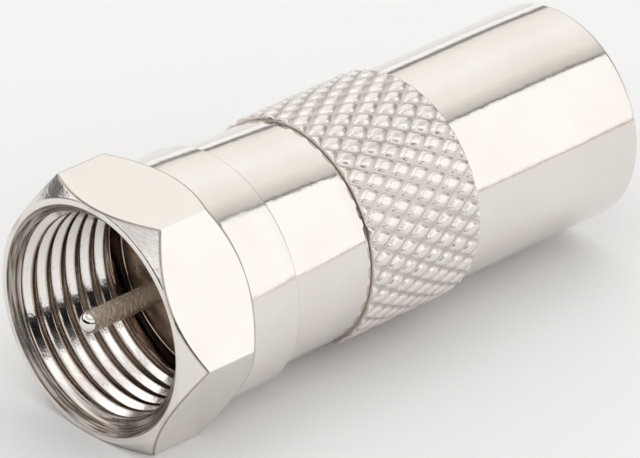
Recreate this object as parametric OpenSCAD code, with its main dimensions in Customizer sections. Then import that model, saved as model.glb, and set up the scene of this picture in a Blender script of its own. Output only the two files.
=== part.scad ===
// Coaxial adapter: F plug with a captive hexagon nut at one end, aerial plug
// with a plain 9.5 mm sleeve at the other. Millimetres. The axis runs along +X
// from the nut to the sleeve, the origin is the centre of the nut's front face,
// and two flats of the hexagon face up and down.

/* [Coupling nut] */
// Distance across the flats of the hexagon
across_flats = 10.5; // [10.2:0.1:12]
// Length of the hexagon, from the front face to the collar
hex_length = 4.2; // [3:0.1:5]
// Width of the 45 degree chamfers on the corners of the hexagon
corner_chamfer = 0.83; // [0.7:0.01:1]
// Length of the whole nut
nut_length = 6.73; // [6.3:0.05:9]
// Wall of the round collar behind the hexagon, around the thread's relief
collar_wall = 0.41; // [0.3:0.01:0.8]
// Width of the chamfer on the collar's back edge
collar_chamfer = 0.08; // [0.02:0.02:0.15]
// Thickness of the lip that holds the nut on the post
lip_thickness = 0.53; // [0.3:0.01:0.6]

/* [Nut thread] */
// Major diameter of the thread, 3/8 inch
thread_d = 9.525; // [9.2:0.025:9.6]
// Pitch of the thread, 32 turns to the inch
thread_pitch = 0.794; // [0.6:0.002:1]
// How much wider than the thread the countersunk mouth is, on the radius
mouth_extra = 0.21; // [0.1:0.01:0.24]
// How much wider than the thread the relief behind it is, on the radius
relief_extra = 0.05; // [0.03:0.01:0.1]
// Length of the relief, from the last thread to the lip
relief_length = 1.25; // [1:0.05:2]

/* [Post] */
// Thickness of the flange
flange_thickness = 0.45; // [0.3:0.05:0.7]
// Clearance around the flange as it passes the thread, on the radius
flange_clearance = 0.13; // [0.05:0.01:0.4]
// Width of the chamfer on the flange's front edge
flange_chamfer = 0.12; // [0.02:0.02:0.2]
// Diameter of the neck that the nut turns on
neck_d = 6.4; // [5.4:0.1:7.4]
// Clearance between the neck and the nut's lip, on the radius
neck_clearance = 0.06; // [0.02:0.01:0.1]
// Play along the axis on each side of the lip
lip_play = 0.05; // [0.03:0.01:0.08]
// Length of the neck pressed into the front shell
neck_grip = 3.6; // [2:0.1:5]
// Bore of the post, which holds the front insulator
post_bore_d = 4.0; // [3:0.1:4.8]

/* [Front shell] */
// Outside diameter of the smooth front shell
front_shell_d = 9.68; // [9:0.02:10]
// Length of the smooth stretch, from the nut to the knurl
front_shell_length = 4.35; // [3.7:0.05:7]
// Wall of the rear shell between the knurl's grooves and the spigot
socket_wall = 0.54; // [0.35:0.01:0.8]
// Length of the spigot
spigot_length = 2.8; // [1.5:0.1:3.5]
// Width of the chamfers on each side of the seam between the shells
seam_chamfer = 0.08; // [0.02:0.01:0.12]

/* [Knurl] */
// Length of the knurled band
knurl_length = 6.2; // [5.2:0.1:9]
// Diameter over the tops of the knurl
knurl_d = 10.08; // [9.9:0.02:10.4]
// Depth of the grooves
knurl_depth = 0.25; // [0.1:0.01:0.26]
// Grooves around the band in each direction
knurl_count = 34; // [24:1:40]
// Slant of the grooves from the axis, in degrees
knurl_slant = 33; // [25:1:45]
// Angle between the sides of a groove, in degrees
groove_angle = 84; // [60:1:95]
// Width of the chamfer on each end of the band
knurl_chamfer = 0.14; // [0.05:0.01:0.25]

/* [Aerial sleeve] */
// Outside diameter of the plain sleeve
sleeve_d = 9.5; // [9.4:0.01:9.55]
// Length of the sleeve from the knurl to its rim
sleeve_length = 9.6; // [7:0.1:12]
// Thickness of the sleeve's wall
sleeve_wall = 0.65; // [0.5:0.01:0.8]
// Radius of the rounded outer edge of the rim
rim_round = 0.22; // [0.1:0.01:0.3]

/* [Insulators] */
// Length of the front insulator in the post
front_insulator_length = 4.4; // [2:0.1:5]
// How far the front insulator lies behind the flange's face
front_insulator_inset = 0.1; // [0.05:0.01:0.3]
// Thickness of the rear insulator disc, with its nose
rear_insulator_thickness = 3.3; // [2:0.1:5]
// Step between the spigot's socket and the disc's seat, on the radius
seat_step = 0.2; // [0.1:0.01:0.5]
// Thickness of the rear shell's lip that the disc seats against
seat_lip_thickness = 0.7; // [0.4:0.1:1.2]
// Width of that lip, on the radius
seat_lip_width = 0.5; // [0.3:0.05:1]

/* [Contacts] */
// Diameter of the needle, the centre contact of the F plug
needle_d = 0.93; // [0.7:0.01:1.1]
// How far the needle's tip stands out of the nut
needle_reach = 0.45; // [0.1:0.05:2]
// Diameter of the needle's shank, from the front insulator's face to the aerial pin
needle_shank_d = 1.3; // [1:0.05:1.8]
// Diameter of the aerial pin
pin_d = 2.4; // [2.2:0.05:2.6]
// How far the aerial pin's tip lies inside the sleeve's rim
pin_inset = 0.6; // [0.2:0.1:2]
// Length of the cone on the aerial pin's tip
pin_tip = 0.7; // [0.3:0.1:1.2]
// Diameter of the flat end of that cone
pin_tip_d = 1.1; // [0.6:0.1:1.6]
// Diameter of the aerial pin's shank in the rear insulator
pin_shank_d = 3; // [2.6:0.1:3.6]
// Diameter of the collar that seats against the rear insulator
pin_collar_d = 3.8; // [3.2:0.1:5]
// Thickness of that collar
pin_collar_thickness = 0.8; // [0.4:0.1:1.5]
// Depth to which the needle is pressed into the aerial pin
needle_grip = 3; // [1.5:0.1:4]

/* [Hidden] */
$fn = 96;
overcut = 0.5;

// Radii of the nut and its thread
corner_r = across_flats / 2 / cos(30);
face_r = corner_r - corner_chamfer;
thread_r = thread_d / 2;
thread_minor_r = thread_r - 5 / 8 * thread_pitch * cos(30);
mouth_r = thread_r + mouth_extra;
relief_r = thread_r + relief_extra;
collar_r = relief_r + collar_wall;
neck_r = neck_d / 2;
flange_r = thread_minor_r - flange_clearance;

// Places along the axis
lip_front = nut_length - lip_thickness;
thread_end = lip_front - relief_length;
flange_back = lip_front - lip_play;
flange_front = flange_back - flange_thickness;
front_shell_x = nut_length + lip_play;
neck_end = front_shell_x + neck_grip;
seam_x = front_shell_x + front_shell_length;
spigot_end = seam_x + spigot_length;
knurl_end = seam_x + knurl_length;
sleeve_end = knurl_end + sleeve_length;
front_insulator_x = flange_front + front_insulator_inset;
rear_insulator_end = spigot_end + rear_insulator_thickness;
seat_lip_x = rear_insulator_end - seat_lip_thickness;
pin_collar_x = spigot_end - pin_collar_thickness;
pin_end = sleeve_end - pin_inset;

// Radii of the shells and insulators
front_shell_r = front_shell_d / 2;
post_bore_r = post_bore_d / 2;
knurl_r = knurl_d / 2;
knurl_root_r = knurl_r - knurl_depth;
spigot_r = knurl_root_r - socket_wall;
seat_r = spigot_r - seat_step;
nose_r = seat_r - seat_lip_width;
sleeve_r = sleeve_d / 2;
sleeve_bore_r = sleeve_r - sleeve_wall;
needle_r = needle_d / 2;
needle_shank_r = needle_shank_d / 2;
pin_r = pin_d / 2;
pin_shank_r = pin_shank_d / 2;

// The knurl's diamonds. Grooves of both hands cross half a pitch apart, so the
// bar is a lattice of rows half a pitch long and half a pitch round.
half_turn = 180 / knurl_count;
half_pitch = PI * knurl_d / knurl_count / tan(knurl_slant) / 2;
groove_spacing = 2 * half_pitch * sin(knurl_slant);
flat_share = 1 - 2 * knurl_depth * tan(groove_angle / 2) / groove_spacing;
// Where the first row lies ahead of the seam, and its turn about the axis
row_lead = 0.08;
row_turn = 1.94;
knurl_rows = ceil(knurl_length / half_pitch) + 3;

// Turns a piece modelled along Z onto the adapter's axis
module along_axis() {
    rotate([0, 90, 0]) children();
}

// A turned piece: [radius, place along the axis] points, revolved
module turned(profile) {
    along_axis() rotate_extrude() polygon(profile);
}

// A quarter circle of radius r about [cr, cx], from the side to the end
function round_edge(cr, cx, r) =
    [for (a = [0 : 15 : 90]) [cr + r * cos(a), cx + r * sin(a)]];

// One point of the knurled bar: i half pitches round, j half pitches along
function bar_point(i, j, r) =
    let (a = row_turn + (i - 1) * half_turn)
    [r * cos(a), r * sin(a), (j - 1) * half_pitch];

// Groove crossings lie where i + j is odd, so each row has knurl_count of them
function crossing(i, j) =
    j * knurl_count + floor(((i + 2 * knurl_count) % (2 * knurl_count)) / 2);

// The four corners of the flat top of the diamond at i, j, and their number
function top_points(i, j) = [
    bar_point(i, j - flat_share, knurl_r), bar_point(i - flat_share, j, knurl_r),
    bar_point(i, j + flat_share, knurl_r), bar_point(i + flat_share, j, knurl_r)
];
function top_index(i, j, corner) =
    (knurl_rows + 1) * knurl_count
    + 4 * ((j - 1) * knurl_count + floor(i / 2)) + corner;

// Faces of one diamond: its flat top and the four sides down to the grooves
function diamond_faces(i, j) =
    let (
        low = [crossing(i, j - 1), crossing(i - 1, j),
               crossing(i, j + 1), crossing(i + 1, j)],
        top = [for (c = [0 : 3]) top_index(i, j, c)]
    )
    concat([top], [for (c = [0 : 3]) [low[c], low[(c + 1) % 4], top[(c + 1) % 4], top[c]]]);

// A solid bar with a diamond knurl, longer at both ends than the band
module knurled_bar() {
    odd_in_row = function (j) [for (i = [0 : 2 * knurl_count - 1]) if ((i + j) % 2 == 1) i];
    even_in_row = function (j) [for (i = [0 : 2 * knurl_count - 1]) if ((i + j) % 2 == 0) i];
    crossings = [for (j = [0 : knurl_rows], i = odd_in_row(j)) bar_point(i, j, knurl_root_r)];
    tops = [for (j = [1 : knurl_rows - 1], i = even_in_row(j)) each top_points(i, j)];
    diamonds = [for (j = [1 : knurl_rows - 1], i = even_in_row(j)) each diamond_faces(i, j)];
    first_row = [for (i = even_in_row(0)) [crossing(i + 1, 0), crossing(i - 1, 0), crossing(i, 1)]];
    last_row = [for (i = even_in_row(knurl_rows))
        [crossing(i - 1, knurl_rows), crossing(i + 1, knurl_rows), crossing(i, knurl_rows - 1)]];
    ends = [
        [for (i = [0 : knurl_count - 1]) i],
        [for (i = [0 : knurl_count - 1]) (knurl_rows + 1) * knurl_count - 1 - i]
    ];
    polyhedron(points = concat(crossings, tops),
               faces = concat(diamonds, first_row, last_row, ends));
}

module coupling_nut() {
    chamfer_reach = corner_r - face_r + overcut;
    color("gainsboro") difference() {
        union() {
            intersection() {
                along_axis() rotate(30) cylinder(r = corner_r, h = hex_length + overcut, $fn = 6);
                turned([
                    [0, 0], [face_r, 0], [face_r + chamfer_reach, chamfer_reach],
                    [collar_r + chamfer_reach, hex_length - chamfer_reach],
                    [collar_r, hex_length], [0, hex_length]
                ]);
            }
            turned([
                [0, hex_length / 2], [collar_r, hex_length / 2],
                [collar_r, nut_length - collar_chamfer],
                [collar_r - collar_chamfer, nut_length], [0, nut_length]
            ]);
        }
        turned([
            [0, -overcut], [mouth_r + overcut, -overcut],
            [thread_minor_r, mouth_r - thread_minor_r], [thread_minor_r, thread_end],
            [relief_r, thread_end + relief_r - thread_minor_r], [relief_r, lip_front],
            [neck_r + neck_clearance, lip_front],
            [neck_r + neck_clearance, nut_length + overcut], [0, nut_length + overcut]
        ]);
    }
}

module front_post() {
    color("silver") turned([
        [post_bore_r, flange_front], [flange_r - flange_chamfer, flange_front],
        [flange_r, flange_front + flange_chamfer], [flange_r, flange_back],
        [neck_r, flange_back], [neck_r, neck_end], [post_bore_r, neck_end]
    ]);
}

module front_insulator() {
    color("ivory") turned([
        [needle_shank_r, front_insulator_x], [post_bore_r, front_insulator_x],
        [post_bore_r, front_insulator_x + front_insulator_length],
        [needle_shank_r, front_insulator_x + front_insulator_length]
    ]);
}

module front_shell() {
    color("gainsboro") turned([
        [neck_r, front_shell_x],
        [front_shell_r - seam_chamfer, front_shell_x],
        [front_shell_r, front_shell_x + seam_chamfer],
        [front_shell_r, seam_x - seam_chamfer],
        [front_shell_r - seam_chamfer, seam_x],
        [spigot_r, seam_x],
        [spigot_r, spigot_end],
        [neck_r, spigot_end]
    ]);
}

module rear_shell() {
    chamfer_reach = knurl_chamfer + overcut;
    color("gainsboro") difference() {
        union() {
            intersection() {
                translate([seam_x - row_lead, 0, 0]) along_axis() knurled_bar();
                turned([
                    [0, seam_x], [knurl_r - knurl_chamfer, seam_x],
                    [knurl_r - knurl_chamfer + chamfer_reach, seam_x + chamfer_reach],
                    [knurl_r - knurl_chamfer + chamfer_reach, knurl_end - chamfer_reach],
                    [knurl_r - knurl_chamfer, knurl_end], [0, knurl_end]
                ]);
            }
            turned(concat(
                [[0, knurl_end - overcut], [sleeve_r, knurl_end - overcut]],
                round_edge(sleeve_r - rim_round, sleeve_end - rim_round, rim_round),
                [[0, sleeve_end]]
            ));
        }
        turned([
            [0, seam_x - overcut], [spigot_r, seam_x - overcut],
            [spigot_r, spigot_end], [seat_r, spigot_end],
            [seat_r, seat_lip_x], [nose_r, seat_lip_x],
            [nose_r, rear_insulator_end], [sleeve_bore_r, rear_insulator_end],
            [sleeve_bore_r, sleeve_end - rim_round],
            [sleeve_bore_r + rim_round / 2 + overcut / 2, sleeve_end + overcut],
            [0, sleeve_end + overcut]
        ]);
    }
}

module rear_insulator() {
    color("ivory") turned([
        [pin_shank_r, spigot_end], [seat_r, spigot_end],
        [seat_r, seat_lip_x], [nose_r, seat_lip_x],
        [nose_r, rear_insulator_end], [pin_shank_r, rear_insulator_end]
    ]);
}

module needle() {
    tip_x = needle_r - needle_reach;
    color("silver") union() {
        translate([tip_x, 0, 0]) sphere(r = needle_r);
        turned([
            [0, tip_x], [needle_r, tip_x], [needle_r, front_insulator_x],
            [needle_shank_r, front_insulator_x],
            [needle_shank_r, pin_collar_x + needle_grip], [0, pin_collar_x + needle_grip]
        ]);
    }
}

module aerial_pin() {
    color("silver") turned([
        [needle_shank_r, pin_collar_x], [pin_collar_d / 2, pin_collar_x],
        [pin_collar_d / 2, spigot_end], [pin_shank_r, spigot_end],
        [pin_shank_r, rear_insulator_end], [pin_r, rear_insulator_end],
        [pin_r, pin_end - pin_tip], [pin_tip_d / 2, pin_end], [0, pin_end],
        [0, pin_collar_x + needle_grip], [needle_shank_r, pin_collar_x + needle_grip]
    ]);
}

coupling_nut();
front_post();
front_insulator();
front_shell();
rear_shell();
rear_insulator();
needle();
aerial_pin();
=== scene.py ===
# Coaxial adapter, F plug to aerial plug, dressed for a studio view.
import bmesh
import bpy
import math
from mathutils import Matrix, Vector


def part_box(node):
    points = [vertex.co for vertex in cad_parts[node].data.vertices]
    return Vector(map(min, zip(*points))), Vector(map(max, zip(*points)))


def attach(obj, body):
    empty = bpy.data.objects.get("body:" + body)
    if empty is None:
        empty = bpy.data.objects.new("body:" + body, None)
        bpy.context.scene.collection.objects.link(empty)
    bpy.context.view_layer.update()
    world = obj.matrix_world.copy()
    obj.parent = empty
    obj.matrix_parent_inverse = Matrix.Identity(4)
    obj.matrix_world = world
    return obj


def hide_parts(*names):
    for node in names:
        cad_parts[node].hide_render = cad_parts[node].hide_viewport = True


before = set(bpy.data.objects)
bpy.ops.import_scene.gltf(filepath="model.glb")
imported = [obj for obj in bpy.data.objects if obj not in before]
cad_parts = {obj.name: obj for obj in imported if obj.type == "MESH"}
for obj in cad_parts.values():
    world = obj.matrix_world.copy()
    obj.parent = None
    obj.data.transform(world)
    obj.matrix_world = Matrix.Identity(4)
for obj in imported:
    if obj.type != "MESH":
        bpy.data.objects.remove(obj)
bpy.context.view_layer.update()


# ----------------------------------------------------------- Coupling nut
# Hexagon nut with a round collar, milled from a turned brass blank, tapped
# 3/8 inch with 32 turns to the inch and bright nickel plated. It turns
# freely on the post's neck.

# Sizes are in millimetres, and MM turns them into the metres of the scene
MM = 0.001
nut_low, nut_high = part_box("coupling_nut")
nut_length = nut_high.x / MM
across_flats = (nut_high.z - nut_low.z) / MM
corner_r = nut_high.y / MM
corner_chamfer = 0.83
face_r = corner_r - corner_chamfer
face_break = 0.03
blank_r = corner_r + 0.06
hex_length = 4.2
edge_softness = 0.07
back_edge_softness = 0.02
# Width of the painted shade along the arcs where the flats meet the blank
edge_shade_width = 0.075
thread_r = 9.525 / 2
thread_pitch = 0.794
crest, root = thread_pitch / 4, thread_pitch / 8
flank = (thread_pitch - crest - root) / 2
flank_angle = math.radians(30)
crest_r = thread_r - flank / math.tan(flank_angle)
thread_depth = 0.32
root_r = crest_r + thread_depth
crest_round, root_round = 0.1, 0.09
mouth_r = thread_r + 0.21
mouth_land = 0.05
relief_r = thread_r + 0.05
collar_r = relief_r + 0.41
lip_thickness = 0.53
lip_front = nut_length - lip_thickness
lip_bore_r = 3.26
relief_length = 1.25
thread_end = lip_front - relief_length
turns_from, turns_to = 0.03, thread_end + 0.56
relief_from = thread_end + 0.62

# Nearer than this, two places are one: a hair in millimetres, and same_place in metres
hair = 0.001
same_place = 0.0005 * MM


def rounded(profile, segments=4):
    """Turns (x, radius, fillet) points in mm into a chain whose corners are rounded by their fillets."""
    chain = []
    for i, (x, r, fillet) in enumerate(profile):
        corner = Vector((x, r))
        if fillet == 0 or i in (0, len(profile) - 1):
            chain.append(corner)
            continue
        before = (Vector(profile[i - 1][:2]) - corner).normalized()
        after = (Vector(profile[i + 1][:2]) - corner).normalized()
        half = before.angle(after) / 2
        reach = fillet / math.tan(half)
        centre = corner + (before + after).normalized() * fillet / math.sin(half)
        start = corner + before * reach - centre
        end = corner + after * reach - centre
        for k in range(segments + 1):
            chain.append(centre + start.lerp(end, k / segments).normalized() * fillet)
    return chain


def draw_chain(bm, chain, closed=False):
    """Adds a chain of (x, radius) points in mm to a bmesh, in the plane above the axis."""
    line = [bm.verts.new((x * MM, 0, r * MM)) for x, r in chain]
    edges = [bm.edges.new(pair) for pair in zip(line, line[1:])]
    if closed:
        edges.append(bm.edges.new((line[-1], line[0])))
    return line + edges


def everything(bm):
    return list(bm.verts) + list(bm.edges) + list(bm.faces)


def duplicated_verts(bm, geom):
    """Copies part of a bmesh in place and gives the copy's vertices."""
    copied = bmesh.ops.duplicate(bm, geom=geom)["geom"]
    return [item for item in copied if isinstance(item, bmesh.types.BMVert)]


def spin_profile(bm, chain, columns, closed=False, sectors=8):
    """Revolves a chain about the axis: one sector is spun, and the others are turned copies of it.

    A closed chain starts and ends partway along a bore, so that every corner of it can be rounded.
    """
    line = draw_chain(bm, chain, closed)
    bmesh.ops.spin(bm, geom=line, cent=(0, 0, 0), axis=(1, 0, 0),
                   angle=2 * math.pi / sectors, steps=columns // sectors)
    sector = everything(bm)
    for k in range(1, sectors):
        bmesh.ops.rotate(bm, verts=duplicated_verts(bm, sector), cent=(0, 0, 0),
                         matrix=Matrix.Rotation(2 * math.pi * k / sectors, 3, "X"))
    bmesh.ops.remove_doubles(bm, verts=bm.verts, dist=same_place)


def set_radius(vert, wanted):
    """Moves a vertex straight out or in, to a radius in mm."""
    x, y, z = vert.co / MM
    radius = math.hypot(y, z)
    vert.co.y, vert.co.z = y * wanted / radius * MM, z * wanted / radius * MM


def soft_min(a, b, softness):
    """The smaller of two values, rounded off where they are nearly the same."""
    blend = max(softness - abs(a - b), 0) / softness
    return min(a, b) - blend * blend * softness / 4


def flat_distance(angle):
    """Radius of the hexagon at an angle from +Z, with its corners just broken."""
    turns = [((angle - math.radians(60 * k) + math.pi) % (2 * math.pi)) - math.pi for k in range(6)]
    near = sorted(abs(turn) for turn in turns)[:2]
    reaches = [across_flats / 2 / math.cos(turn) for turn in near]
    return soft_min(reaches[0], reaches[1], edge_softness)


def steps_between(start, end, step):
    """Places about a step apart, from start up to the last one before end."""
    count = max(1, round(abs(end - start) / step))
    return [start + (end - start) * k / count for k in range(count)]


def make_hexagon():
    """The turned blank with six flats milled on it, left open where the thread's turns go."""
    columns = 576
    slope_step, plain_step = 0.035, 0.25
    back_x = hex_length - (blank_r - collar_r)
    collar_ring_x = hex_length + 0.6
    chain = [(0, mouth_r), (0, mouth_r + mouth_land), (0, face_r - face_break)]
    chain += [(x, face_r + x) for x in steps_between(face_break / 2, blank_r - face_r, slope_step)]
    chain += [(x, blank_r) for x in steps_between(blank_r - face_r, back_x, plain_step)]
    chain += [(x, blank_r - (x - back_x)) for x in steps_between(back_x, hex_length, slope_step)]
    chain += rounded([
        (hex_length, collar_r, 0), (collar_ring_x, collar_r, 0), (nut_length, collar_r, 0.09),
        (nut_length, lip_bore_r, 0.05), (lip_front, lip_bore_r, 0.05),
        (lip_front, relief_r, 0.1), (relief_from, relief_r, 0)])
    bm = bmesh.new()
    spin_profile(bm, chain, columns)
    # Painted shade: dark lines along the arcs where the flats meet the turned blank, and around the
    # mouth's inner edge
    edge_shade = bm.verts.layers.float.new("painted_shade")
    for vert in bm.verts:
        x, y, z = vert.co / MM
        radius = math.hypot(y, z)
        if x < hair and radius < mouth_r + mouth_land / 5:
            vert[edge_shade] = 1
        if x > hex_length - hair or radius < face_r - 2 * face_break:
            continue
        flat = flat_distance(math.atan2(y, z))
        vert[edge_shade] = max(1 - abs(radius - flat) / edge_shade_width, 0)
        softness = edge_softness if x < back_x else back_edge_softness
        set_radius(vert, soft_min(radius, flat, softness))
    return bm


def make_thread_turns():
    """One pitch of the thread driven along a right-hand screw, then copied and cut to length."""
    columns = 288
    past_end = 0.7
    runout = 0.3
    cut_softness = 0.05
    on_plane = 1e-9
    start = -1.6 * thread_pitch
    turns = math.ceil((thread_end + past_end - start) / thread_pitch)
    root_from = start + crest / 2 + flank
    pitch_end = start + thread_pitch
    turn = rounded([
        (start, crest_r, 0), (start + crest / 2, crest_r, crest_round),
        (root_from, root_r, root_round), (root_from + root, root_r, root_round),
        (pitch_end - crest / 2, crest_r, crest_round), (pitch_end, crest_r, 0)], segments=3)
    bm = bmesh.new()
    bmesh.ops.spin(bm, geom=draw_chain(bm, turn), cent=(0, 0, 0), axis=(1, 0, 0),
                   dvec=(thread_pitch / columns * MM, 0, 0), angle=2 * math.pi, steps=columns)
    one_turn = everything(bm)
    for k in range(1, turns):
        bmesh.ops.translate(bm, verts=duplicated_verts(bm, one_turn), vec=(k * thread_pitch * MM, 0, 0))
    bmesh.ops.remove_doubles(bm, verts=bm.verts, dist=4 * same_place)

    # The countersunk mouth cuts into the first turns, and the tap runs out into the relief
    for vert in bm.verts:
        x, y, z = vert.co / MM
        cutter_r = max(mouth_r - x, crest_r + x - thread_end)
        wall_r = -soft_min(-math.hypot(y, z), -cutter_r, cut_softness)
        if x > thread_end + runout:
            wall_r = min(wall_r, relief_r)
        set_radius(vert, wall_r)
    bmesh.ops.bisect_plane(bm, geom=everything(bm), plane_co=(turns_from * MM, 0, 0), plane_no=(1, 0, 0),
                           dist=on_plane, clear_inner=True)
    bmesh.ops.bisect_plane(bm, geom=everything(bm), plane_co=(turns_to * MM, 0, 0), plane_no=(1, 0, 0),
                           dist=on_plane, clear_outer=True)
    return bm


def make_coupling_nut():
    """The hexagon with its thread let in and both seams closed. Faces of the bore take material 1."""
    bm = make_hexagon()
    turns = make_thread_turns()
    holder = bpy.data.meshes.new("thread_turns")
    turns.to_mesh(holder)
    turns.free()
    bm.from_mesh(holder)
    bpy.data.meshes.remove(holder)
    open_edges = [edge for edge in bm.edges if edge.is_boundary]
    front = [edge for edge in open_edges if edge.verts[0].co.x < thread_end / 2 * MM]
    back = [edge for edge in open_edges if edge.verts[0].co.x >= thread_end / 2 * MM]
    bmesh.ops.bridge_loops(bm, edges=front)
    bmesh.ops.bridge_loops(bm, edges=back)
    for face in bm.faces:
        centre = face.calc_center_median() / MM
        if centre.yz.length < mouth_r and 0 < centre.x < lip_front:
            face.material_index = 1
    return bm


def feed(tree, socket, value):
    """Links an output to a socket, or sets the socket to a plain value."""
    if isinstance(value, bpy.types.NodeSocket):
        tree.links.new(value, socket)
    else:
        socket.default_value = value


def node(tree, kind, place, inputs=(), **settings):
    """Adds a shader node with its settings, and feeds its inputs by name or by number."""
    made = tree.nodes.new(kind)
    made.location = place
    for key, value in settings.items():
        setattr(made, key, value)
    for key, value in dict(inputs).items():
        feed(tree, made.inputs[key], value)
    return made


def calculated(tree, place, operation, *values, clamp=False):
    made = node(tree, "ShaderNodeMath", place, enumerate(values), operation=operation, use_clamp=clamp)
    return made.outputs[0]


def scaled(tree, place, vector, factors):
    made = node(tree, "ShaderNodeVectorMath", place, {0: vector, 1: factors}, operation="MULTIPLY")
    return made.outputs[0]


def remapped(tree, place, value, old, new=(0, 1), kind="LINEAR"):
    """Takes a value from the range old to the range new."""
    ends = {"From Min": old[0], "From Max": old[1], "To Min": new[0], "To Max": new[1]}
    made = node(tree, "ShaderNodeMapRange", place, {"Value": value, **ends}, interpolation_type=kind)
    return made.outputs["Result"]


def noise(tree, place, vector, scale, detail, roughness=0.5):
    inputs = {"Vector": vector, "Scale": scale, "Detail": detail, "Roughness": roughness}
    return node(tree, "ShaderNodeTexNoise", place, inputs).outputs["Fac"]


def blended(tree, place, share, first, second):
    """Mixes two colours by a share from 0 to 1."""
    made = node(tree, "ShaderNodeMix", place, {"Factor": share, "A": first, "B": second}, data_type="RGBA")
    return made.outputs["Result"]


def ramped(tree, place, share, low, high, stops):
    """Reads a colour ramp at a share of the way from low to high. Stops are (value, colour)."""
    made = node(tree, "ShaderNodeValToRGB", place, {"Fac": share})
    points = made.color_ramp.elements
    while len(points) < len(stops):
        points.new(0.5)
    for point, (value, colour) in zip(points, stops):
        point.position = (value - low) / (high - low)
        point.color = (*colour, 1)
    return made.outputs["Color"]


def group_socket(group, name, kind, direction, default=None, low=None, high=None):
    made = group.interface.new_socket(name=name, in_out=direction, socket_type=kind)
    if default is not None:
        made.default_value = default
    if low is not None:
        made.min_value, made.max_value = low, high


def make_plate_group():
    """Colour, roughness and normal of nickel plate, in millimetres of the object's own space."""
    group = bpy.data.node_groups.new("nickel_plate", "ShaderNodeTree")
    group_socket(group, "Colour", "NodeSocketColor", "INPUT", (0.8, 0.77, 0.73, 1))
    group_socket(group, "Dull Colour", "NodeSocketColor", "INPUT", (0.6, 0.56, 0.5, 1))
    group_socket(group, "Roughness", "NodeSocketFloat", "INPUT", 0.1, 0, 1)
    group_socket(group, "Waviness", "NodeSocketFloat", "INPUT", 0.1, 0, 10)
    group_socket(group, "Waves Per Millimetre", "NodeSocketFloat", "INPUT", 1.3, 0, 20)
    group_socket(group, "Lathe Lines", "NodeSocketFloat", "INPUT", 0.1, 0, 1)
    group_socket(group, "Specks", "NodeSocketFloat", "INPUT", 0.2, 0, 1)
    group_socket(group, "Shade And Tarnish", "NodeSocketFloat", "INPUT", 0, 0, 1)
    group_socket(group, "Shade And Tarnish Colour", "NodeSocketColor", "INPUT", (0.2, 0.15, 0.1, 1))
    group_socket(group, "Colour", "NodeSocketColor", "OUTPUT")
    group_socket(group, "Roughness", "NodeSocketFloat", "OUTPUT")
    group_socket(group, "Normal", "NodeSocketVector", "OUTPUT")
    given = node(group, "NodeGroupInput", (-1200, 0)).outputs
    coords = node(group, "ShaderNodeTexCoord", (-1200, -300)).outputs["Object"]
    in_mm = node(group, "ShaderNodeVectorMath", (-1000, -300), {0: coords, "Scale": 1 / MM},
                 operation="SCALE").outputs[0]

    # Dull patches a few millimetres wide, and a few fine specks
    patches = noise(group, (-800, 200), in_mm, scale=0.35, detail=3)
    patches = remapped(group, (-600, 200), patches, (0.35, 0.75), (0, 0.22))
    specks = noise(group, (-800, 0), in_mm, scale=7, detail=2)
    specks = remapped(group, (-600, 0), specks, (0.66, 0.74), kind="SMOOTHSTEP")
    specks = calculated(group, (-400, 0), "MULTIPLY", specks, given["Specks"])
    marks = calculated(group, (-300, 100), "MAXIMUM", patches, specks)

    # Lathe lines: noise that changes quickly along the axis and not around it
    along = node(group, "ShaderNodeSeparateXYZ", (-800, -600), {0: in_mm}).outputs["X"]
    only_x = node(group, "ShaderNodeCombineXYZ", (-600, -600), {"X": along}).outputs[0]
    lines = noise(group, (-400, -600), only_x, scale=14, detail=2)
    streaks = remapped(group, (-200, -600), lines, (0.4, 0.75), (0, 0.25))
    streaks = calculated(group, (0, -600), "MULTIPLY", streaks, given["Lathe Lines"])

    # Marks and lines are duller and rougher, and the shade and tarnish share mixes in its colour: painted
    # shade on the nut's edges and the knurl, tarnish and painted shade in the thread
    extra_roughness = 0.18
    dull = calculated(group, (-200, 100), "ADD", marks, streaks, clamp=True)
    colour = blended(group, (100, 200), dull, given["Colour"], given["Dull Colour"])
    colour = blended(group, (300, 200), given["Shade And Tarnish"], colour, given["Shade And Tarnish Colour"])
    roughness = calculated(group, (100, 0), "MULTIPLY_ADD", dull, extra_roughness, given["Roughness"])

    # Waviness: slow, shallow dents under the lathe lines
    dent_depth, line_depth = 0.02 * MM, 0.002 * MM
    waves = noise(group, (-800, -300), in_mm, given["Waves Per Millimetre"], detail=5, roughness=0.6)
    waves = calculated(group, (100, -300), "MULTIPLY", given["Waviness"], waves)
    wave_bump = node(group, "ShaderNodeBump", (300, -300), {"Height": waves, "Distance": dent_depth})
    line_bump = node(group, "ShaderNodeBump", (550, -300), {
        "Height": lines, "Strength": given["Lathe Lines"], "Distance": line_depth,
        "Normal": wave_bump.outputs["Normal"]})
    node(group, "NodeGroupOutput", (900, 0), {
        "Colour": colour, "Roughness": roughness, "Normal": line_bump.outputs["Normal"]})
    return group


plate_group = make_plate_group()


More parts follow.
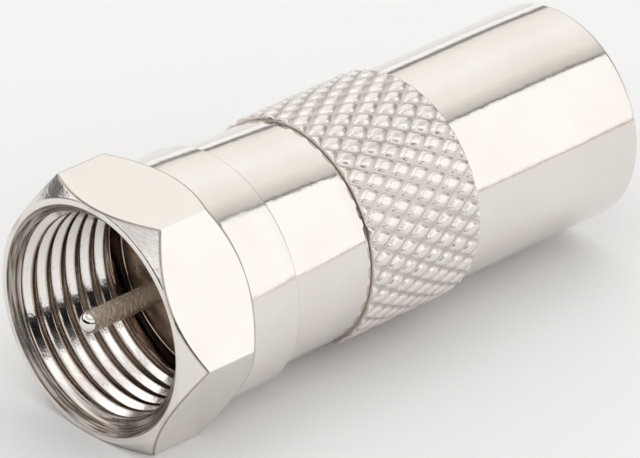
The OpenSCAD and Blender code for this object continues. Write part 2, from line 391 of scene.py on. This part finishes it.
def plated(name, colour, dull_colour, roughness, waviness, lathe_lines, specks, waves_per_mm=1.3,
           painted_shade_colour=None):
    """Nickel plate with its own colour and amount of each mark.

    With a painted shade colour, the mesh's painted_shade attribute says where that painted shade lies.
    """
    material = bpy.data.materials.new(name)
    material.use_nodes = True
    tree = material.node_tree
    plate = node(tree, "ShaderNodeGroup", (-300, 0), {
        "Colour": (*colour, 1), "Dull Colour": (*dull_colour, 1), "Roughness": roughness,
        "Waviness": waviness, "Waves Per Millimetre": waves_per_mm, "Lathe Lines": lathe_lines,
        "Specks": specks}, node_tree=plate_group, name="plate")
    if painted_shade_colour:
        painted_shade = node(tree, "ShaderNodeAttribute", (-600, -200), attribute_name="painted_shade")
        feed(tree, plate.inputs["Shade And Tarnish"], painted_shade.outputs["Fac"])
        feed(tree, plate.inputs["Shade And Tarnish Colour"], (*painted_shade_colour, 1))
    shader = tree.nodes["Principled BSDF"]
    shader.inputs["Metallic"].default_value = 1
    tree.links.new(plate.outputs["Colour"], shader.inputs["Base Color"])
    tree.links.new(plate.outputs["Roughness"], shader.inputs["Roughness"])
    tree.links.new(plate.outputs["Normal"], shader.inputs["Normal"])
    return material


nickel_colour = (0.84, 0.795, 0.765)
dull_nickel = (0.68, 0.61, 0.565)
# Brown of the painted shade along the nut's edges
edge_shade_brown = (0.2, 0.15, 0.1)
tapped_roughness = 0.1
milled_nickel = plated("milled_nickel", nickel_colour, dull_nickel, roughness=0.08, waviness=0.35,
                       lathe_lines=0.15, specks=0.3, painted_shade_colour=edge_shade_brown)
chamfered_nickel = plated("chamfered_nickel", nickel_colour, dull_nickel, roughness=0.1, waviness=0.9,
                          lathe_lines=0.0, specks=0.8, waves_per_mm=4, painted_shade_colour=edge_shade_brown)
# The bore's plate is coloured lighter than the nickel outside: painted light that lifts the shade in the
# bore
lightened_tapped_nickel = plated("lightened_tapped_nickel", (0.93, 0.89, 0.86), (0.55, 0.46, 0.38),
                       roughness=tapped_roughness, waviness=0.8, lathe_lines=0.0, specks=0.9)
# Brown of the thread's tarnish, which in the roots is also painted shade
thread_brown = (0.38, 0.28, 0.21, 1)
cone_brown = (0.12, 0.085, 0.06, 1)


def tarnish_and_shade_thread():
    """Browns the thread's crests and roots, and the cone of its mouth, where the plate is thin. In the
    roots the brown is also painted shade.
    """
    tree = lightened_tapped_nickel.node_tree
    coords = node(tree, "ShaderNodeTexCoord", (-1600, -300)).outputs["Object"]
    across = scaled(tree, (-1400, -300), coords, (0, 1 / MM, 1 / MM))
    radius = node(tree, "ShaderNodeVectorMath", (-1200, -300), {0: across}, operation="LENGTH")
    radius = radius.outputs["Value"]

    # Crests and roots, by their distance from the axis. In the roots the brown is also painted shade
    inner, outer = 4.3, 5.0
    bare, brown = (0, 0, 0), (0.8, 0.8, 0.8)
    outwards = remapped(tree, (-1000, -300), radius, (inner, outer))
    turns = ramped(tree, (-800, -300), outwards, inner, outer, [
        (inner, brown), (crest_r + 0.03, brown), (crest_r + 0.07, bare),
        (root_r - 0.04, bare), (root_r - 0.01, brown), (outer, brown)])

    # The mouth's cone, where the radius and the way in from the face add up to the mouth's radius
    x, y, z = node(tree, "ShaderNodeSeparateXYZ", (-1400, -600), {0: coords}).outputs
    off_cone = calculated(tree, (-1000, -600), "MULTIPLY_ADD", x, 1 / MM, radius)
    cone = remapped(tree, (-800, -600), off_cone, (mouth_r + 0.02, mouth_r + 0.06), (1, 0))
    browned = calculated(tree, (-500, -400), "MAXIMUM", turns, cone)

    # Heavier and lighter patches, drawn out along the turns
    around = calculated(tree, (-1200, -900), "ARCTAN2", z, y)
    unrolled = node(tree, "ShaderNodeCombineXYZ", (-1000, -900), {0: off_cone, 1: radius, 2: around})
    across_turns, into_turns, along_turns = 4, 12, 2.5
    drawn_out = scaled(tree, (-800, -900), unrolled.outputs[0], (across_turns, into_turns, along_turns))
    patches = noise(tree, (-600, -900), drawn_out, scale=1, detail=4)
    lightest = remapped(tree, (-800, -700), cone, (0, 1), (0.7, 0.5))
    patches = remapped(tree, (-400, -900), patches, (0.4, 0.58), (lightest, 1))
    tarnish_and_shade = calculated(tree, (-400, -600), "MULTIPLY", browned, patches)

    # The cone is darker and duller than the turns, because its cutter chattered
    colour = blended(tree, (-500, -800), cone, thread_brown, cone_brown)
    roughness = remapped(tree, (-500, -1000), cone, (0, 1), (tapped_roughness, 0.26))
    plate = tree.nodes["plate"]
    feed(tree, plate.inputs["Shade And Tarnish"], tarnish_and_shade)
    feed(tree, plate.inputs["Shade And Tarnish Colour"], colour)
    feed(tree, plate.inputs["Roughness"], roughness)


tarnish_and_shade_thread()


def piece_from(bm, name, materials, body, replaced, sharp_angle=32):
    """Closes a bmesh into a smooth-shaded piece that stands for a CAD node."""
    bmesh.ops.remove_doubles(bm, verts=bm.verts, dist=same_place)
    bmesh.ops.recalc_face_normals(bm, faces=bm.faces)
    mesh = bpy.data.meshes.new(name)
    bm.to_mesh(mesh)
    bm.free()
    mesh.shade_smooth()
    mesh.set_sharp_from_angle(angle=math.radians(sharp_angle))
    for material in materials:
        mesh.materials.append(material)
    piece = bpy.data.objects.new(name, mesh)
    bpy.context.scene.collection.objects.link(piece)
    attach(piece, body)
    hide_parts(replaced)
    return piece


nut = piece_from(make_coupling_nut(), "hexagon_nut", [milled_nickel, lightened_tapped_nickel, chamfered_nickel],
                 body="nut", replaced="coupling_nut")

# The chamfer around the nut's face keeps its cutter's coarser finish
for face in nut.data.polygons:
    faces_front = face.normal.x < -0.4
    behind_rim = face.center.x > face_break / 3 * MM
    if face.material_index == 0 and faces_front and behind_rim:
        face.material_index = 2


# ------------------------------------------------------------------- Post
# Turned brass bush, nickel plated. Its flange holds the nut and is the face
# that the socket's rim meets, and its neck is pressed into the front shell.
post_low, post_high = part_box("front_post")
flange_front, neck_end = post_low.x / MM, post_high.x / MM
flange_r = post_high.z / MM
nut_play = 0.05
flange_back = lip_front - nut_play
neck_r = 3.2
post_bore_r = 2.0
post = bmesh.new()
spin_profile(post, rounded([
    (flange_front + 0.2, post_bore_r, 0), (flange_front, post_bore_r, 0.04),
    (flange_front, flange_r, 0.06), (flange_back, flange_r, 0.04), (flange_back, neck_r, 0),
    (neck_end, neck_r, 0.1), (neck_end, post_bore_r, 0), (flange_front + 0.5, post_bore_r, 0)]),
    columns=192, closed=True)
# Darker and browner than the nickel outside: painted shade for the post's face at the bottom of the nut's
# bore
shade_darkened_nickel = plated("shade_darkened_nickel", (0.60, 0.51, 0.44), (0.40, 0.32, 0.26), roughness=0.2, waviness=0.4,
                      lathe_lines=0.3, specks=0.6)
piece_from(post, "flange_post", [shade_darkened_nickel], body="adapter", replaced="front_post")


# ------------------------------------------------------------- Insulators
# Two turned pieces of natural polythene, milky and slightly waxy. One holds
# the needle in the post, and the other the aerial pin in the rear shell.
def make_polythene():
    material = bpy.data.materials.new("polythene")
    material.use_nodes = True
    tree = material.node_tree
    coords = node(tree, "ShaderNodeTexCoord", (-1000, 0)).outputs["Object"]
    mottle = noise(tree, (-800, 0), coords, scale=0.9 / MM, detail=4)
    greyer, whiter = (0.80, 0.78, 0.71, 1), (0.90, 0.89, 0.85, 1)
    colour = blended(tree, (-500, 100), mottle, greyer, whiter)
    bump = node(tree, "ShaderNodeBump", (-300, -200), {
        "Height": mottle, "Strength": 0.3, "Distance": 0.02 * MM})
    shader = tree.nodes["Principled BSDF"]
    feed(tree, shader.inputs["Base Color"], colour)
    feed(tree, shader.inputs["Normal"], bump.outputs["Normal"])
    shader.inputs["Roughness"].default_value = 0.42
    shader.inputs["Subsurface Weight"].default_value = 0.25
    shader.inputs["Subsurface Radius"].default_value = (0.8 * MM, 0.7 * MM, 0.6 * MM)
    return material


polythene = make_polythene()
needle_shank_r = 0.65
pin_shank_r = 1.5
insulator_low, insulator_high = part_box("front_insulator")
insulator_front, insulator_back = insulator_low.x / MM, insulator_high.x / MM
insulating_sleeve = bmesh.new()
spin_profile(insulating_sleeve, rounded([
    (insulator_front + 0.3, needle_shank_r, 0), (insulator_front, needle_shank_r, 0.05),
    (insulator_front, post_bore_r, 0.06), (insulator_back, post_bore_r, 0.06),
    (insulator_back, needle_shank_r, 0), (insulator_front + 0.6, needle_shank_r, 0)]),
    columns=128, closed=True)
piece_from(insulating_sleeve, "front_polythene", [polythene],
           body="adapter", replaced="front_insulator")

disc_low, disc_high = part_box("rear_insulator")
disc_front, disc_back = disc_low.x / MM, disc_high.x / MM
seat_r = disc_high.z / MM
disc_nose_r = seat_r - 0.5
seat_lip_x = disc_back - 0.7
disc = bmesh.new()
spin_profile(disc, rounded([
    (disc_front + 0.5, pin_shank_r, 0), (disc_front, pin_shank_r, 0),
    (disc_front, seat_r, 0.06), (seat_lip_x, seat_r, 0.04), (seat_lip_x, disc_nose_r, 0),
    (disc_back, disc_nose_r, 0.06), (disc_back, pin_shank_r, 0.06), (disc_front + 1, pin_shank_r, 0)]),
    columns=160, closed=True)
piece_from(disc, "rear_polythene", [polythene],
           body="adapter", replaced="rear_insulator")


# --------------------------------------------------------------- Contacts
# The needle is the F plug's centre contact: a drawn pin with a round nose
# and a thicker shank, pressed into the end of the aerial pin. The aerial
# pin is turned from solid brass. Both are nickel plated.
needle_low, needle_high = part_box("needle")
needle_tip, needle_end = needle_low.x / MM, needle_high.x / MM
needle_r = 0.93 / 2
nose_steps = 12
nose_angles = [math.radians(90 * k / nose_steps) for k in range(1, nose_steps)]
nose = [(needle_tip + needle_r * (1 - math.cos(a)), needle_r * math.sin(a), 0) for a in nose_angles]
needle_body = bmesh.new()
spin_profile(needle_body, rounded([(needle_tip, 0, 0)] + nose + [
    (needle_tip + needle_r, needle_r, 0), (insulator_front, needle_r, 0),
    (insulator_front, needle_shank_r, 0.05), (needle_end, needle_shank_r, 0.1), (needle_end, 0, 0)]),
    columns=64)
contact_nickel = plated("contact_nickel", (0.88, 0.77, 0.65), (0.4, 0.3, 0.22), roughness=0.15,
                        waviness=6.0, lathe_lines=0.2, specks=1.0, waves_per_mm=6)
needle = piece_from(needle_body, "needle_contact", [contact_nickel, milled_nickel],
                    body="adapter", replaced="needle")

# Its nose is rubbed bright
for face in needle.data.polygons:
    if face.center.x < (needle_tip + needle_r) * MM:
        face.material_index = 1

pin_low, pin_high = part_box("aerial_pin")
pin_front, pin_tip = pin_low.x / MM, pin_high.x / MM
pin_collar_r = pin_high.z / MM
pin_r = 1.2
pin_nose = 0.7
pin_tip_r = 0.55
pin = bmesh.new()
spin_profile(pin, rounded([
    (needle_end, 0, 0), (needle_end, needle_shank_r, 0),
    (pin_front, needle_shank_r, 0.03), (pin_front, pin_collar_r, 0.08),
    (disc_front, pin_collar_r, 0.08), (disc_front, pin_shank_r, 0),
    (disc_back, pin_shank_r, 0.1), (disc_back, pin_r, 0.05),
    (pin_tip - pin_nose, pin_r, 0.5), (pin_tip, pin_tip_r, 0.12), (pin_tip, 0, 0)],
    segments=6), columns=96)
turned_nickel = plated("turned_nickel", nickel_colour, dull_nickel, roughness=0.05, waviness=0.32,
                       lathe_lines=0.4, specks=0.25)
piece_from(pin, "aerial_pin_contact", [turned_nickel],
           body="adapter", replaced="aerial_pin")


# ------------------------------------------------------------ Front shell
# Smooth turned brass shell behind the nut, nickel plated. A spigot on its
# back is pressed into the knurled shell, and its rounded edge leaves a fine
# groove at the seam.
shell_low, shell_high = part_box("front_shell")
front_shell_r = shell_high.z / MM
shell_front, spigot_end = shell_low.x / MM, shell_high.x / MM
rear_low, rear_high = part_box("rear_shell")
seam_x = rear_low.x / MM
spigot_r = 4.25
front_shell = bmesh.new()
spin_profile(front_shell, rounded([
    (spigot_end - 1, neck_r, 0), (shell_front, neck_r, 0), (shell_front, front_shell_r, 0.08),
    ((shell_front + seam_x) / 2, front_shell_r, 0), (seam_x, front_shell_r, 0.08),
    (seam_x, spigot_r, 0), (spigot_end, spigot_r, 0.1), (spigot_end, neck_r, 0)]),
    columns=384, closed=True)
piece_from(front_shell, "smooth_shell", [turned_nickel],
           body="adapter", replaced="front_shell")


# ------------------------------------------------------------- Rear shell
# One turned brass piece, nickel plated: a diamond-knurled band for the
# fingers, and the plain sleeve of the aerial plug, open at the end around
# its pin.
knurl_length = 6.2
knurl_end = seam_x + knurl_length
knurl_r = 5.04
knurl_depth = 0.14
knurl_count = 34
knurl_slant = math.radians(33)
knurl_chamfer = 0.14
knurl_lip = 0.09
knurl_softness = 0.05
knurl_front_r = 4.5
knurl_foot_r = 4.76
seam_ring_r = front_shell_r + 0.02
corner_fade = 0.08
# Below this share of the knurl's height, the band takes painted shade
shade_height = 0.4
half_turn = math.pi / knurl_count
half_pitch = math.pi * knurl_r / knurl_count / math.tan(knurl_slant)
crown_share, groove_share = 0.5, 0.91
dome_weight, slope_weight = 0.2, 0.4
first_row = seam_x - 0.08
row_turn = math.radians(3.9)
sleeve_end = rear_high.x / MM
sleeve_r = 4.75
sleeve_bore_r = 4.1
rim_round = 0.22


def knurl_height(x, angle):
    """Share of the groove depth at a place on the band: 0 in a groove, 1 on a diamond's top.

    From a diamond's middle out to a groove, its sides slope down between the crown and groove shares.
    """
    along = (x - first_row) / half_pitch
    around = (angle - row_turn) / half_turn
    phases = [(around + along) / 2, (around - along) / 2]
    across = [abs(2 * (phase - round(phase))) for phase in phases]
    dome = (across[0] ** 2 + across[1] ** 2) / 2
    slope = ((across[0] ** 4 + across[1] ** 4) ** 0.25 - crown_share) / (groove_share - crown_share)
    slope = min(max(slope, 0), 1)
    return 1 - dome_weight * dome - slope_weight * slope - slope_weight * slope * slope * (3 - 2 * slope)


def painted_shade_share(x, radius, angle):
    """How much painted shade a place holds, from 0 to 1: in the knurl's grooves and in the seam's corner.
    """
    if x > knurl_end - hair or radius < spigot_r + hair:
        return 0
    corner = 1 - (radius - seam_ring_r) / corner_fade if x < seam_x + hair else 0
    groove = 1 - knurl_height(x, angle) / shade_height
    return min(max(corner, groove, 0), 1)


def make_rear_shell():
    columns = knurl_count * 16
    first_step, row_step, last_step = 0.03, 0.07, 0.02
    ring_step = 3
    rows = [seam_x] + steps_between(seam_x + first_step, knurl_end - last_step, row_step)
    rows.append(knurl_end - last_step)
    chain = [(seam_x, spigot_r), (seam_x, knurl_front_r), (seam_x, seam_ring_r)]
    chain += [(x, knurl_r) for x in rows] + [(knurl_end, knurl_foot_r)]
    chain += rounded([
        (knurl_end, sleeve_r, 0), (knurl_end + ring_step, sleeve_r, 0),
        (knurl_end + 2 * ring_step, sleeve_r, 0), (sleeve_end, sleeve_r, rim_round),
        (sleeve_end, sleeve_bore_r, 0.12), (sleeve_end - ring_step, sleeve_bore_r, 0),
        (disc_back, sleeve_bore_r, 0.05), (disc_back, disc_nose_r, 0.04), (seat_lip_x, disc_nose_r, 0),
        (seat_lip_x, seat_r, 0), (spigot_end, seat_r, 0), (spigot_end, spigot_r, 0)], segments=6)
    bm = bmesh.new()
    spin_profile(bm, chain, columns, closed=True, sectors=knurl_count // 2)
    painted_shade = bm.verts.layers.float.new("painted_shade")
    for vert in bm.verts:
        x, y, z = vert.co / MM
        angle = math.atan2(y, -z)
        if math.hypot(y, z) > knurl_r - hair:
            cut_r = knurl_r - knurl_depth * (1 - knurl_height(x, angle))
            end_r = min(x - seam_x + knurl_lip, knurl_end - x) + knurl_r - knurl_chamfer
            set_radius(vert, soft_min(cut_r, end_r, knurl_softness))
        vert[painted_shade] = painted_shade_share(x, vert.co.yz.length / MM, angle)
    return bm


# Grey of the painted shade in the knurl's grooves and the seam's corner
groove_grey = (0.55, 0.49, 0.445)
knurled_nickel = plated("knurled_nickel", nickel_colour, dull_nickel, roughness=0.22, waviness=0.8,
                        lathe_lines=0.0, specks=0.5, waves_per_mm=3, painted_shade_colour=groove_grey)
rear_shell = piece_from(make_rear_shell(), "knurled_shell", [turned_nickel, knurled_nickel],
                        body="adapter", replaced="rear_shell", sharp_angle=40)

# The band is rolled, and duller than the turned sleeve
for face in rear_shell.data.polygons:
    if face.center.x < knurl_end * MM and face.center.yz.length > knurl_front_r * MM:
        face.material_index = 1


# ----------------------------------------------------------------- Studio
# The adapter lies on a pale table with a flat of the nut down. Long soft
# panels run beside and above it, with narrow gaps between them.
table_r = 0.11
table_centre = Vector((sleeve_end / 2 * MM, 0, nut_low.z))


def make_table():
    bm = bmesh.new()
    bmesh.ops.create_circle(bm, cap_ends=True, segments=96, radius=table_r,
                            matrix=Matrix.Translation(table_centre))
    mesh = bpy.data.meshes.new("table")
    bm.to_mesh(mesh)
    bm.free()
    table = bpy.data.objects.new("table", mesh)
    bpy.context.scene.collection.objects.link(table)
    material = bpy.data.materials.new("pale_table")
    material.use_nodes = True
    shader = material.node_tree.nodes["Principled BSDF"]
    shader.inputs["Base Color"].default_value = (0.97, 0.97, 0.97, 1)
    shader.inputs["Roughness"].default_value = 0.9
    shader.inputs["Specular IOR Level"].default_value = 0.1
    mesh.materials.append(material)


def make_studio_world():
    """Light by direction. Around the adapter's axis 0 is the viewer's side and 90 is overhead."""
    world = bpy.data.worlds.new("soft_panels")
    bpy.context.scene.world = world
    world.use_nodes = True
    tree = world.node_tree
    coords = node(tree, "ShaderNodeTexCoord", (-1400, 0)).outputs["Generated"]
    x, y, z = node(tree, "ShaderNodeSeparateXYZ", (-1200, 0), {0: coords}).outputs
    lengthwise = remapped(tree, (-600, 900), x, (-1, 1))
    upward = remapped(tree, (-600, -200), z, (-1, 1))
    side = calculated(tree, (-1000, 100), "MULTIPLY", y, -1)
    around = calculated(tree, (-800, 0), "ARCTAN2", z, side)
    around = remapped(tree, (-600, 0), around, (-math.pi, math.pi))

    def panels(place, share, low, high, stops):
        """Ramp of (where, level, tint) stops."""
        tinted = [(where, [level * part for part in tint]) for where, level, tint in stops]
        return ramped(tree, place, share, low, high, tinted)

    # Beside the shells: a long panel from the table up, a gap, and a second panel overhead
    plain, warm, tan = (1, 1, 0.99), (1, 0.985, 0.93), (1, 0.84, 0.66)
    beside = panels((-400, 200), around, -180, 180, [
        (-180, 0.88, plain), (-7, 0.88, plain),
        (-5, 0.55, tan), (-3.4, 0.55, tan),
        (-2.6, 1.22, plain), (71.4, 1.22, plain),
        (72.3, 0.1, warm), (73.8, 0.1, warm),
        (74.8, 0.62, warm), (92, 1.0, warm), (120, 1.13, plain), (150, 1.05, warm), (161, 0.9, warm),
        (163.5, 0.28, warm), (168, 0.28, warm), (171, 1.1, plain)])

    # Before the nut: panels by height, with a dark band low down and a softer one above
    before = panels((-400, -200), upward, -1, 1, [
        (-1, 0.88, plain), (0.03, 0.88, plain),
        (0.06, 0.15, plain), (0.28, 0.15, plain),
        (0.36, 1.2, plain), (0.58, 1.3, plain),
        (0.65, 0.72, plain), (0.85, 0.72, plain),
        (0.92, 1.3, plain), (1, 1.3, plain)])
    past_nut = remapped(tree, (-400, 0), x, (0.15, 0.3), kind="SMOOTHSTEP")
    colour = blended(tree, (0, 0), past_nut, before, beside)

    # Straight out from the mouth the room is dark up to the panels. Past the sleeve the light falls away
    undimmed = (1, 1, 1, 1)
    room = panels((-400, 500), upward, -1, 1, [
        (-1, 1, plain), (0.03, 1, plain), (0.04, 0.05, plain), (0.42, 0.05, plain), (0.5, 1, plain)])
    mouthward = remapped(tree, (-400, 700), x, (-0.7, -0.8), kind="SMOOTHSTEP")
    room = blended(tree, (-100, 500), mouthward, undimmed, room)
    falling = panels((-400, 900), lengthwise, -1, 1, [
        (-1, 1, plain), (0.72, 1, plain), (0.82, 0.7, plain), (0.92, 0.55, plain),
        (0.96, 0.3, plain), (1, 0.3, plain)])
    raised = remapped(tree, (-400, 1100), z, (0.05, 0.1), kind="SMOOTHSTEP")
    falling = blended(tree, (-100, 900), raised, undimmed, falling)
    background = tree.nodes["Background"]
    feed(tree, background.inputs["Color"], colour)
    feed(tree, background.inputs["Strength"], calculated(tree, (100, 500), "MULTIPLY", room, falling))


make_table()
make_studio_world()


# ----------------------------------------------------------------- Camera
# A long lens that looks down on the adapter from the nut's side, turned a
# little about its own axis.
camera_azimuth = math.radians(-45.48)
camera_elevation = math.radians(29.79)
camera_roll = 0.04
camera_distance = 0.352
look_at = Vector((12.944, 0, -0.567)) * MM
back = Vector((math.sin(camera_azimuth) * math.cos(camera_elevation),
               -math.cos(camera_azimuth) * math.cos(camera_elevation),
               math.sin(camera_elevation)))
level = Vector((0, 0, 1)).cross(back).normalized()
upright = back.cross(level)
right = level * math.cos(camera_roll) + upright * math.sin(camera_roll)
top = upright * math.cos(camera_roll) - level * math.sin(camera_roll)
camera_data = bpy.data.cameras.new("camera")
camera_data.sensor_width = 36
camera_data.lens = 480.8
camera_data.clip_start = 0.01
camera_data.clip_end = 10
camera = bpy.data.objects.new("camera", camera_data)
bpy.context.scene.collection.objects.link(camera)
turned = Matrix((right, top, back)).transposed().to_4x4()
camera.matrix_world = Matrix.Translation(look_at + back * camera_distance) @ turned
bpy.context.scene.camera = camera
bpy.context.scene.view_settings.view_transform = "Standard"
